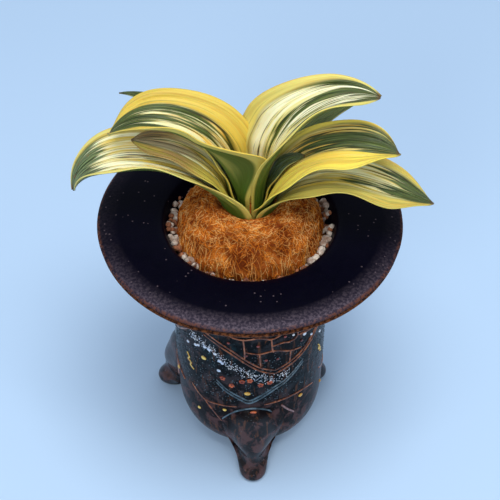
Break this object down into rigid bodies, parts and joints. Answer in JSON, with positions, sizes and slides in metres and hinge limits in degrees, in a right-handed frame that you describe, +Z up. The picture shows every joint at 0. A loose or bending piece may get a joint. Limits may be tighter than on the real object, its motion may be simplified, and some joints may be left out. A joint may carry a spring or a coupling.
{
  "type": "potted sacred lily",
  "caption": "Strap-leaved plant fanning left and right from packed moss edged with pumice, in a tall round glazed pot with a wide flat brim and splayed feet.",
  "frame": {"origin": "on the floor, under the axis of the pot", "axes": "+Z up along the pot's axis, -Y the front with the front foot, +X the right-hand rank of leaves"},
  "size_m": [0.1413, 0.1224, 0.1853],
  "materials": {
    "glaze": "satin-gloss dark glaze with raised slip decoration",
    "net_plastic": "moulded black mesh",
    "pumice": "rough porous stone grains",
    "moss": "matted dry brown moss fibres",
    "root_skin": "smooth pale root skin",
    "leaf": "satin yellow leaf with lengthwise dark green stripes"
  },
  "bodies": {
    "root": {"pot": "glaze", "drain_net": "net_plastic", "gravel_coarse": "pumice", "gravel_medium": "pumice", "gravel_top": "pumice", "moss_mound": "moss", "rhizome": "root_skin", "root_1": "root_skin", "root_2": "root_skin", "root_3": "root_skin", "root_4": "root_skin", "root_5": "root_skin", "root_6": "root_skin", "leaf_left_1": "leaf", "leaf_left_2": "leaf", "leaf_left_3": "leaf", "leaf_left_4": "leaf", "leaf_left_back": "leaf", "leaf_right_1": "leaf", "leaf_right_2": "leaf", "leaf_right_3": "leaf", "leaf_right_4": "leaf", "leaf_right_back": "leaf"}
  },
  "joints": []
}
